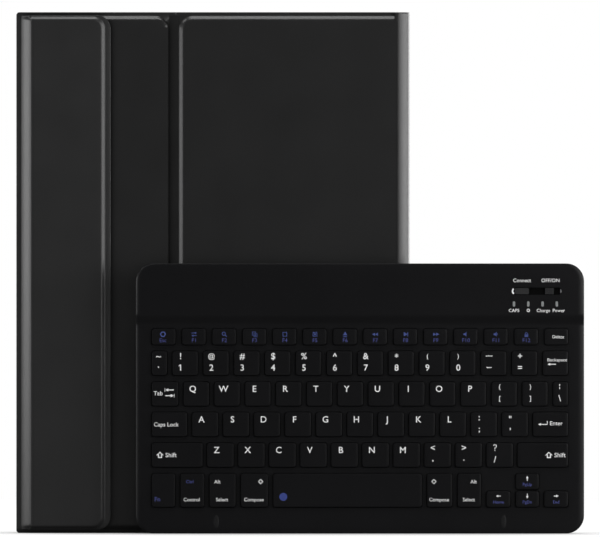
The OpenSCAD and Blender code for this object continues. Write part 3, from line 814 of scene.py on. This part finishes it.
def rim_highlights():
    """Two slight swellings in the lower rim, one on each side of the middle, in a lighter plastic
    that paints faint streaks of highlight there.
    """
    bm = bmesh.new()
    centre, reach, height = (kb[0] + kb[1]) / 2, 70.5 * MM, 5.9 * MM
    for x in (centre - reach, centre + reach):
        loops = []
        for share, rise in [(1.0, -0.05), (0.9, 0.02), (0.7, 0.05), (0.4, 0.07), (0.08, 0.08)]:
            loops.append([
                (x + 1.3 * MM * share * math.cos(t), kb_back - deck_depth - rise * MM,
                 height + 3.4 * MM * share * math.sin(t))
                for t in (math.radians(15 * k) for k in range(24))
            ])
        stack_of_loops(bm, loops)
    ride(new_piece("rim_highlights", bm, ["streak_highlight_plastic"], angle=60), "keyboard", "keyboard_plastic")


rim_highlights()


# ---------------- keys and legends

CAP_MATERIALS = ["key", "white_ink", "blue_ink", "bright_blue_ink", "icon_ink"]
WHITE, BLUE, BRIGHT_BLUE, ICON = 1, 2, 3, 4     # the inks' places in that list
INK_RISE = 0.02 * MM
INK_BOLD = 0.05 * MM                            # how much the letters are thickened


def polar(x, z, radius, degrees):
    a = math.radians(degrees)
    return x + radius * math.cos(a), z + radius * math.sin(a)


class Printer:
    """Adds printed marks to a mesh, as flat faces just in front of the plane y."""

    def __init__(self, bm, y):
        self.bm, self.y = bm, y - INK_RISE

    def polygon(self, points, ink=WHITE):
        verts = [self.bm.verts.new((x, self.y, z)) for x, z in points]
        self.bm.faces.new(verts).material_index = ink

    def word(self, text, x, z, size, ink=WHITE, align="CENTER", stretch=1.0, bold=INK_BOLD):
        """Text whose capitals are size metres high, centred on z; x is its left side or middle."""
        curve = bpy.data.curves.new("word", "FONT")
        curve.body = text
        curve.size = size / 0.7
        curve.align_x = align
        curve.resolution_u = 3
        curve.offset = bold * min(1.0, (size / LETTER) ** 2)
        holder = bpy.data.objects.new("word", curve)
        mesh = bpy.data.meshes.new_from_object(holder)
        verts = [
            self.bm.verts.new((x + v.co.x * stretch, self.y, z - size / 2 + v.co.y))
            for v in mesh.vertices
        ]
        for polygon in mesh.polygons:
            self.bm.faces.new([verts[i] for i in polygon.vertices]).material_index = ink
        bpy.data.objects.remove(holder)
        bpy.data.curves.remove(curve)
        bpy.data.meshes.remove(mesh)

    def bar(self, x0, x1, z0, z1):
        self.polygon([(x0, z0), (x1, z0), (x1, z1), (x0, z1)])

    def arrow(self, x, z, length, size, direction, ink=WHITE):
        """A small arrow centred on (x, z); direction is 0 right, 90 up, 180 left, 270 down."""
        half, head, stem = length / 2, size * 0.9, size * 0.28 / 2
        outline = [
            (-half, -stem), (half - head, -stem), (half - head, -size / 2), (half, 0),
            (half - head, size / 2), (half - head, stem), (-half, stem),
        ]
        a = math.radians(direction)
        self.polygon([
            (x + px * math.cos(a) - pz * math.sin(a), z + px * math.sin(a) + pz * math.cos(a))
            for px, pz in outline
        ], ink)

    def arc(self, x, z, radius, width, first, last, ink=WHITE, steps=10):
        """A bent stroke from the angle first to last, in degrees, width wide inside radius."""
        for k in range(steps):
            a, b = (first + (last - first) * (k + d) / steps for d in (0, 1))
            corners = [(radius, a), (radius, b), (radius - width, b), (radius - width, a)]
            self.polygon([polar(x, z, *corner) for corner in corners], ink)

    def ring(self, x, z, radius, width, ink=WHITE, sides=16):
        self.arc(x, z, radius, width, 0, 360, ink, sides)

    def disc(self, x, z, radius, ink):
        self.polygon([polar(x, z, radius, 15 * k) for k in range(24)], ink)

    def triangle(self, x, z, size, direction, ink):
        self.polygon([polar(x, z, size / 2, direction + t) for t in (0, 120, 240)], ink)

    def shift_arrow(self, x, z, size):
        """An outlined arrow pointing up."""
        h = size / 2
        outer = [(-0.6, -0.9), (0.6, -0.9), (0.6, -0.1), (1.15, -0.1), (0, 0.95), (-1.15, -0.1),
                 (-0.6, -0.1)]
        inner = [(-0.3, -0.6), (0.3, -0.6), (0.3, 0.16), (0.5, 0.16), (0, 0.58),
                 (-0.5, 0.16), (-0.3, 0.16)]
        for k in range(7):
            j = (k + 1) % 7
            quad = [outer[k], outer[j], inner[j], inner[k]]
            self.polygon([(x + px * h, z + pz * h) for px, pz in quad])


class Icon:
    """A blue sign on a function key, drawn about its centre in units of its size."""

    def __init__(self, printer, x, z, size):
        self.printer, self.x, self.z, self.size = printer, x, z, size

    def at(self, x, z):
        return self.x + self.size * x, self.z + self.size * z

    def polygon(self, *points):
        self.printer.polygon([self.at(*point) for point in points], ICON)

    def bar(self, x0, x1, z0, z1):
        self.polygon((x0, z0), (x1, z0), (x1, z1), (x0, z1))

    def ring(self, x, z, radius, width, sides=16):
        scaled = radius * self.size, width * self.size
        self.printer.ring(*self.at(x, z), *scaled, ICON, sides)

    def triangle(self, x, z, size, direction):
        self.printer.triangle(*self.at(x, z), size * self.size, direction, ICON)

    def arrow(self, z, direction):
        self.printer.arrow(*self.at(0, z), self.size, self.size * 0.4, direction, ICON)

    def frame(self, x, z, share, fill=False):
        """An outlined square, with a filled one inside it if asked."""
        part = Icon(self.printer, *self.at(x, z), self.size * share)
        part.bar(-0.5, 0.5, 0.37, 0.5)
        part.bar(-0.5, 0.5, -0.5, -0.37)
        part.bar(-0.5, -0.37, -0.37, 0.37)
        part.bar(0.37, 0.5, -0.37, 0.37)
        if fill:
            part.bar(-0.2, 0.2, -0.2, 0.2)


# each sign as rows of a shape's name and the numbers that its function in Icon takes
HOME_ICON = [("ring", 0, 0, 0.56, 0.22, 6)]
SPEAKER = [
    ("bar", -0.45, -0.2, -0.16, 0.16),
    ("polygon", (-0.2, -0.16), (0.08, -0.42), (0.08, 0.42), (-0.2, 0.16)),
]
FUNCTION_ICONS = [
    [("arrow", 0.24, 0), ("arrow", -0.24, 180)],
    [
        ("ring", -0.1, 0.1, 0.36, 0.12),
        ("polygon", (0.1, -0.2), (0.2, -0.1), (0.5, -0.4), (0.4, -0.5)),
    ],
    [("frame", -0.12, 0.12, 0.66), ("frame", 0.16, -0.16, 0.66, True)],
    [("frame", 0, 0, 0.8)],
    [("frame", 0, 0, 0.8, True)],
    [("triangle", 0, 0.05, 0.9, 90), ("bar", -0.35, 0.35, -0.5, -0.36)],
    [("triangle", 0.3, 0, 0.7, 180), ("triangle", -0.25, 0, 0.7, 180)],
    [("triangle", -0.1, 0, 0.9, 0), ("bar", 0.32, 0.45, -0.38, 0.38)],
    [("triangle", -0.3, 0, 0.7, 0), ("triangle", 0.25, 0, 0.7, 0)],
    SPEAKER,
    [*SPEAKER, ("bar", 0.18, 0.26, -0.16, 0.16)],
    [("bar", -0.32, 0.32, -0.5, 0.02), ("ring", 0, 0.08, 0.26, 0.1)],
]
LETTER, SMALL, TINY = 3.05 * MM, 1.9 * MM, 1.5 * MM   # heights of the capitals


def letter(p, key, text):
    x0, x1, _, z1 = key[:4]
    p.word(text, x0 + 0.36 * (x1 - x0), z1 - 3.45 * MM, LETTER)


def pair(p, key, over, under):
    """The shifted sign above the plain one, near the key's left side."""
    x0, x1, z0, z1 = key[:4]
    x = x0 + (0.32 if x1 - x0 > 10 * MM else 0.44) * (x1 - x0)
    print_sign(p, over, x, z1 - 2.4 * MM)
    print_sign(p, under, x, z0 + 3.85 * MM)


SIGN = 3.05 * MM
# how far some marks are raised, in millimetres, and how large some are beside the others
SIGN_LIFT = {'"': -1.0, "'": -1.2, ",": 0.7, ".": 0.9, "*": -0.5, "`": -0.8}
SIGN_SCALE = {"@": 0.8, "{": 0.68, "}": 0.68, "[": 0.72, "]": 0.72, "(": 0.72, ")": 0.72}


def print_sign(p, sign, x, z):
    """A number or a punctuation mark; the thin marks are drawn as bars of even weight."""
    half, thin = 1.6 * MM, 0.2 * MM
    if sign == "_":
        p.bar(x - half, x + half, z - thin, z + thin)
    elif sign == "-":
        p.bar(x - half * 0.8, x + half * 0.8, z - thin, z + thin)
    elif sign == "|":
        for side in (-1, 1):
            dash = z + 0.75 * side * MM
            p.bar(x - thin, x + thin, dash - 0.5 * MM, dash + 0.5 * MM)
    elif sign == "?":
        p.arc(x, z + 0.75 * MM, 0.95 * MM, 0.42 * MM, -60, 165)
        p.bar(x - thin, x + thin, z - 0.75 * MM, z + 0.2 * MM)
        p.bar(x - thin, x + thin, z - 1.5 * MM, z - 1.05 * MM)
    else:
        lift = SIGN_LIFT.get(sign, 0.0) * MM
        p.word(sign, x, z + lift, SIGN * SIGN_SCALE.get(sign, 1.0))
    if sign == "1":
        top, side = z + SIGN / 2, x - 0.2 * MM
        p.polygon([
            (side, top), (side - 0.75 * MM, top - 0.62 * MM), (side - 0.75 * MM, top - 1.05 * MM),
            (side, top - 0.65 * MM)
        ])


def function_key(p, key, label, icon):
    x0, x1, z0, z1 = key[:4]
    x = x0 + 0.51 * (x1 - x0)
    sign = Icon(p, x, z1 - 2.75 * MM, 2.7 * MM)
    for shape, *numbers in icon:
        getattr(sign, shape)(*numbers)
    p.word(label, x, z0 + 2.25 * MM, SMALL, BLUE, bold=0.0)


def print_escape(p, x0, x1, z0, z1):
    function_key(p, (x0 - 0.5 * MM, x1 - 0.5 * MM, z0, z1), "Esc", HOME_ICON)


def print_functions(first):
    def run(p, keys):
        for k, key in enumerate(keys):
            function_key(p, key, f"F{first + k}", FUNCTION_ICONS[first + k - 1])
    return run


def print_signs(signs):
    """Prints a letter, or two signs one above the other, on each key of a group."""
    def run(p, keys):
        for key, text in zip(keys, signs.split()):
            if len(text) == 2:
                pair(p, key, *text)
            else:
                letter(p, key, text)
    return run


def print_delete(p, x0, x1, z0, z1):
    p.word("Delete", (x0 + x1) / 2 + 0.9 * MM, (z0 + z1) / 2, TINY)


def print_backspace(p, x0, x1, z0, z1):
    x, z = (x0 + x1) / 2, (z0 + z1) / 2
    p.word("Backspace", x + 0.9 * MM, z + 1.7 * MM, TINY, stretch=1.12)
    p.arrow(x - 1.8 * MM, z - 0.5 * MM, 4.2 * MM, 1.5 * MM, 180)


def print_tab(p, x0, x1, z0, z1):
    z = z0 + 0.55 * (z1 - z0)
    p.word("Tab", x0 + 0.7 * MM, z - 0.3 * MM, 2.1 * MM, align="LEFT")
    p.arrow(x0 + 8.6 * MM, z + 1.3 * MM, 4.2 * MM, 1.7 * MM, 180)
    p.bar(x0 + 6.2 * MM, x0 + 6.45 * MM, z + 0.4 * MM, z + 2.2 * MM)
    p.arrow(x0 + 8.6 * MM, z - 1.5 * MM, 4.2 * MM, 1.7 * MM, 0)
    p.bar(x0 + 10.75 * MM, x0 + 11.0 * MM, z - 2.4 * MM, z - 0.6 * MM)


def print_caps(p, x0, x1, z0, z1):
    p.word("Caps Lock", x0 + 0.8 * MM, (z0 + z1) / 2, 2.0 * MM, align="LEFT")


def print_enter(p, x0, x1, z0, z1):
    z = (z0 + z1) / 2 + 0.4 * MM
    p.arrow(x0 + 4.8 * MM, z - 0.4 * MM, 4.6 * MM, 1.5 * MM, 180)
    p.bar(x0 + 6.85 * MM, x0 + 7.2 * MM, z - 0.2 * MM, z + 1.3 * MM)
    p.word("Enter", x0 + 8.2 * MM, z + 0.2 * MM, 2.0 * MM, align="LEFT")


def print_shift(p, x0, x1, z0, z1):
    z = (z0 + z1) / 2
    left = x0 + 3.9 * MM if x1 < 0.05 else x0 + 15.4 * MM
    p.shift_arrow(left, z, 3.3 * MM)
    p.word("Shift", left + 2.6 * MM, z, 2.1 * MM, align="LEFT", stretch=1.06)


def print_fn(p, x0, x1, z0, z1):
    p.word("Fn", x0 + 1.1 * MM, z0 + 3.9 * MM, 2.2 * MM, BLUE, "LEFT")


def modifier(p, key, over, under, x, ink=WHITE, size=1.75 * MM):
    """The word under stands near the key's lower side, and over, or a diamond, above it at x."""
    x0, x1, z0, z1 = key[:4]
    p.word(under, (x0 + x1) / 2 - 0.3 * MM, z0 + 3.7 * MM, 1.75 * MM)
    if over:
        p.word(over, x, z1 - 4.0 * MM, size, ink)
    else:
        p.ring(x, z1 - 4.0 * MM, 1.3 * MM, 0.5 * MM, sides=4)


def print_modifiers_left(p, keys):
    control, alt, compose = keys
    x = (control[0] + control[1]) / 2 - 1.2 * MM
    modifier(p, control, "Ctrl", "Control", x, BLUE, 1.6 * MM)
    modifier(p, alt, "Alt", "Select", alt[0] + 0.3 * (alt[1] - alt[0]))
    modifier(p, compose, "", "Compose", compose[0] + 0.73 * 13.2 * MM)


def print_modifiers_right(p, keys):
    compose, alt = keys
    modifier(p, compose, "", "Compose", compose[0] + 3.3 * MM)
    modifier(p, alt, "Alt", "Select", alt[0] + 0.68 * (alt[1] - alt[0]))


def print_space(p, x0, x1, z0, z1):
    p.disc(x0 + 4.9 * MM, z0 + 5.0 * MM, 1.95 * MM, BRIGHT_BLUE)


def print_arrow(direction, label):
    def run(p, x0, x1, z0, z1):
        x, z = (x0 + x1) / 2, (z0 + z1) / 2
        p.arrow(x, z + 1.5 * MM, 2.4 * MM, 1.3 * MM, direction)
        p.word(label, x, z - 1.4 * MM, TINY, BLUE)
    return run


PRINTS = {
    "key_escape": print_escape,
    "keys_function_left": print_functions(1),
    "keys_function_right": print_functions(7),
    "key_delete": print_delete,
    "keys_number_left": print_signs("~` !1 @2 #3 $4 %5 ^6"),
    "keys_number_right": print_signs("&7 *8 (9 )0 _- +="),
    "key_backspace": print_backspace,
    "key_tab": print_tab,
    "keys_upper_left": print_signs("Q W E R T Y"),
    "keys_upper_right": print_signs("U I O P {[ }] |\\"),
    "key_caps_lock": print_caps,
    "keys_home_left": print_signs("A S D F G"),
    "keys_home_right": print_signs("H J K L :; \"'"),
    "key_enter": print_enter,
    "key_shift_left": print_shift,
    "keys_lower_left": print_signs("Z X C V B"),
    "keys_lower_right": print_signs("N M <, >. ?/"),
    "key_shift_right": print_shift,
    "key_fn": print_fn,
    "keys_modifier_left": print_modifiers_left,
    "key_space": print_space,
    "keys_modifier_right": print_modifiers_right,
    "key_arrow_left": print_arrow(180, "Home"),
    "key_arrow_up": print_arrow(90, "PgUp"),
    "key_arrow_down": print_arrow(270, "PgDn"),
    "key_arrow_right": print_arrow(0, "End"),
}


def key_cap(bm, key):
    """One cap: straight skirt, rounded shoulder and a flat face, hollow at the back."""
    *rect, y_front, y_back = key
    loops = []
    for inset, y in [
        (0.9, y_front + 1.0 * MM), (0.9, y_back), (0.0, y_back), (0.0, y_front + 0.28 * MM),
        (0.03, y_front + 0.13 * MM), (0.1, y_front + 0.04 * MM), (0.24, y_front),
        (1.4, y_front)
    ]:
        r = max(1.2 - inset, 0.35) * MM
        loops.append(rounded_loop(y, grow(rect, -inset * MM), [r] * 4, 5))
    stack_of_loops(bm, loops)


for node_name, keys in KEYS.items():
    key_mesh = bmesh.new()
    for key in keys:
        key_cap(key_mesh, key)
    printer = Printer(key_mesh, cap_front)
    if len(keys) == 1:
        PRINTS[node_name](printer, *keys[0][:4])
    else:
        PRINTS[node_name](printer, keys)
    cap = new_piece(f"{node_name}_cap", key_mesh, CAP_MATERIALS, angle=30)
    ride(cap, node_name, "key_plastic", node_name)

# labels on the raised bar
labels = bmesh.new()
printer = Printer(labels, bar_front)
lights = islands("status_lights")
above, below = button[3] + 3.3 * MM, lights[0][2] - 1.85 * MM
printer.word("Connect", (button[0] + button[1]) / 2, above, 1.75 * MM)
printer.word("OFF/ON", (knob[0] + knob[1]) / 2 + 0.5 * MM, above, 1.75 * MM)
for lens, word, shift in zip(lights, ["CAPS", "", "Charge", "Power"], [0, 0, 0.4, 0.9]):
    x = (lens[0] + lens[1]) / 2 + shift * MM
    if word:
        printer.word(word, x, below, 1.6 * MM)
    else:
        printer.ring(x, below, 0.8 * MM, 0.35 * MM)
# painted highlights: white arcs at the two ends of the slot stand in for glints on its rounded ends
slot_z, slot_r = (slot[2] + slot[3]) / 2, 1.9 * MM
printer.arc(slot[0] + 0.6 * MM, slot_z, slot_r, 0.75 * MM, 130, 235)
printer.arc(slot[1] - 1.4 * MM, slot_z, slot_r, 0.14 * MM, -25, 25)
bar_print = new_piece("bar_labels", labels, ["keyboard", "white_ink"])
ride(bar_print, "keyboard", "keyboard_plastic")


# ---------------- floor, lights and camera

FLOOR_COLOUR = 0.12            # the floor as the object and its shadow see it
FLOOR_GLOW, FLOOR_MIRROR = 0.92, 0.12   # how white the camera sees it, and mirrors near the object
SHADE_REACH, SHADE_POWER = 0.09, 1.5    # painted shadow: how the glow fades in the corner below the object
STUDIO_LEVEL = 0.06            # brightness of the room round the object


def stage_floor():
    bpy.ops.mesh.primitive_plane_add(size=3, location=(0, 0, 0))
    floor = bpy.context.object
    floor.name = "studio_floor"
    n = Material("floor")
    base = (*grey(FLOOR_COLOUR), 1)
    set_inputs(n.shader, {"Base Color": base, "Roughness": 0.9, "Specular IOR Level": 0.1})
    glow, both = n.add("ShaderNodeEmission"), n.add("ShaderNodeAddShader")
    painted_floor_shadow = n.painted_corner_shade(SHADE_REACH, SHADE_POWER)
    seen = n.seen("Object", 0.03, 0.4, FLOOR_MIRROR)
    lift = n.math("MULTIPLY", (seen, 0), (n.math("MULTIPLY", (painted_floor_shadow, 0), FLOOR_GLOW), 0))
    n.link(lift, 0, glow, "Strength")
    n.link(n.shader, 0, both, 0)
    n.link(glow, 0, both, 1)
    n.link(both, 0, n.out, "Surface")
    floor.data.materials.append(n.material)


def world_light():
    """A white backdrop behind a dim studio; mirrors and glass see it as the camera does."""
    world = bpy.data.worlds.new("studio")
    bpy.context.scene.world = world
    world.use_nodes = True
    n = Graph(world.node_tree)
    strength = n.add("ShaderNodeMapRange", {"To Min": STUDIO_LEVEL, "To Max": 1.0})
    n.link(n.seen("Generated", 0.0, 0.35), 0, strength, "Value")
    light = n.add("ShaderNodeBackground", {"Color": (1, 1, 1, 1)})
    n.link(strength, "Result", light, "Strength")
    n.link(light, 0, n.add("ShaderNodeOutputWorld"), "Surface")


# degrees from the camera's axis, positive to the right or upward, and the radiance there
SIDE_BANK = [
    (-90, 6.6), (-75, 6.0), (-60, 3.9), (-45, 3.2),
    (30, 3.0), (45, 4.6), (60, 7.4), (75, 7.6), (90, 6.5), (105, 4.0),
]
TOP_BANK = [(60, 7.6), (75, 3.0)]
BANK_RADIUS, BANK_STEP, BANK_HEIGHT, TOP_WIDTH = 1.15, 0.28, 0.38, 0.55
LEFT_LIFT, RIGHT_LIFT = Vector((0, 0, 0.075)), Vector((0, 0, 0.02))
AIM = Vector((0.03, 0.0, 0.15))
# name, place, width, height and radiance of the boxes outside the banks
SINGLE_BOXES = [
    ("corner", AIM + BANK_RADIUS * Vector((-0.62, -0.36, 0.7)), BANK_STEP, BANK_STEP, 8.0),
    ("rear_left", (-0.7, 1.1, 0.7), 0.8, 0.6, 5.3),
    ("rear_right", (0.9, 1.0, 0.3), 0.6, 0.8, 4.0),
]
TALL_BOXES = {30: 0.75, 45: 0.75}   # heights of the boxes that stand up from the floor


def soft_box(name, place, aim, width, height, level):
    """A rectangular lamp whose radiance is level."""
    lamp = bpy.data.lights.new(name, "AREA")
    lamp.shape = "RECTANGLE"
    lamp.size, lamp.size_y = width, height
    lamp.energy = math.pi * width * height * level
    holder = bpy.data.objects.new(name, lamp)
    holder.location = place
    holder.rotation_euler = (Vector(aim) - Vector(place)).to_track_quat("-Z", "Y").to_euler()
    bpy.context.scene.collection.objects.link(holder)


def light_bank():
    """Curved banks of soft boxes beside and above the object, one at its corner, two behind."""
    for degrees, level in SIDE_BANK:
        turn = math.radians(degrees)
        lift = LEFT_LIFT if degrees < 0 else RIGHT_LIFT
        place = AIM + BANK_RADIUS * Vector((math.sin(turn), -math.cos(turn), 0)) + lift
        height = TALL_BOXES.get(degrees, BANK_HEIGHT)
        place.z = max(place.z, height / 2)
        soft_box(f"side_{degrees}", place, AIM + lift * 0.5, BANK_STEP, height, level)
    for degrees, level in TOP_BANK:
        turn = math.radians(degrees)
        place = AIM + BANK_RADIUS * Vector((0, -math.cos(turn), math.sin(turn)))
        soft_box(f"top_{degrees}", place, AIM, TOP_WIDTH, BANK_STEP, level)
    for name, place, width, height, level in SINGLE_BOXES:
        soft_box(name, place, AIM, width, height, level)


LENS, SENSOR, FAR_CLIP = 1200.0, 36.0, 1000.0   # a very long lens: the photo shows no perspective


def camera():
    data = bpy.data.cameras.new("camera")
    data.lens, data.sensor_width, data.clip_end = LENS, SENSOR, FAR_CLIP
    distance = PHOTO_W * METRES_PER_PIXEL * LENS / SENSOR
    holder = bpy.data.objects.new("camera", data)
    x = (PHOTO_W / 2 - PHOTO_X0) * METRES_PER_PIXEL
    z = (PHOTO_Z0 - PHOTO_H / 2) * METRES_PER_PIXEL
    holder.location = (x, RAISED_OUT - distance, z)
    holder.rotation_euler = (math.radians(90), 0, 0)
    bpy.context.scene.collection.objects.link(holder)
    bpy.context.scene.camera = holder


stage_floor()
world_light()
light_bank()
camera()
bpy.context.scene.view_settings.view_transform = "Standard"
